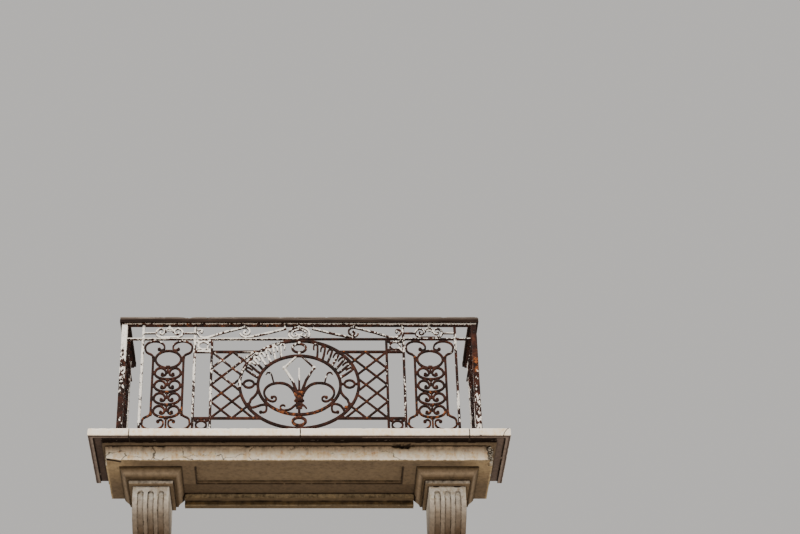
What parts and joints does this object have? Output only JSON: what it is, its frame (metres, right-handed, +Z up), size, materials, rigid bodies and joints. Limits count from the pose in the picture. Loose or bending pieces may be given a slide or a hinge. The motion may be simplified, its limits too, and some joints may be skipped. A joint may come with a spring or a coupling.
{
  "type": "wrought iron balcony",
  "caption": "Wall balcony with a moulded stone slab on fluted consoles and a wrought iron railing of scrolls, lattice and an oval medallion under a timber handrail.",
  "frame": {"origin": "middle of the slab's back face, on the wall plane, half way up the moulded stone body", "axes": "+X along the wall to the right seen from the street, +Y into the wall, +Z up; the balcony stands out towards -Y"},
  "size_m": [3, 0.7, 1.792],
  "materials": {
    "floor_stone": "pale cream limestone, tooled and worn",
    "moulded_stone": "moulded limestone, stained brown, cracked",
    "bracket_stone": "fluted limestone, grey weathering",
    "timber": "bare weathered timber, dark grey-brown",
    "rusted_iron": "wrought iron with brown rust",
    "painted_iron": "off-white paint peeling from rusted iron"
  },
  "bodies": {
    "root": {"cap_stone_left_corner": "floor_stone", "cap_stone_left": "floor_stone", "cap_stone_right": "floor_stone", "cap_stone_right_corner": "floor_stone", "balcony_slab": "moulded_stone", "wall_bed_moulding": "moulded_stone", "left_bracket_capital": "bracket_stone", "right_bracket_capital": "bracket_stone", "left_bracket": "bracket_stone", "right_bracket": "bracket_stone", "handrail_front": "timber", "handrail_left": "timber", "handrail_right": "timber", "handrail_flat_front": "rusted_iron", "handrail_flat_left": "rusted_iron", "handrail_flat_right": "rusted_iron", "corner_post_left": "painted_iron", "corner_post_right": "painted_iron", "front_rails": "painted_iron", "left_side_rails": "rusted_iron", "right_side_rails": "rusted_iron", "front_uprights_left": "painted_iron", "front_uprights_right": "painted_iron", "side_uprights_left": "rusted_iron", "side_uprights_right": "rusted_iron", "frieze_scrolls_left": "painted_iron", "frieze_scrolls_right": "painted_iron", "frieze_centre_scroll": "painted_iron", "scroll_column_left": "rusted_iron", "scroll_column_right": "rusted_iron", "ring_blocks_left": "painted_iron", "ring_blocks_right": "painted_iron", "lattice_left": "rusted_iron", "lattice_right": "rusted_iron", "medallion_outer_ring": "rusted_iron", "medallion_inner_ring": "rusted_iron", "medallion_small_rings": "rusted_iron", "medallion_scrolls": "rusted_iron", "fleur_ornament": "rusted_iron", "fleur_collar": "rusted_iron", "left_side_panel": "rusted_iron", "right_side_panel": "rusted_iron"}
  },
  "joints": []
}
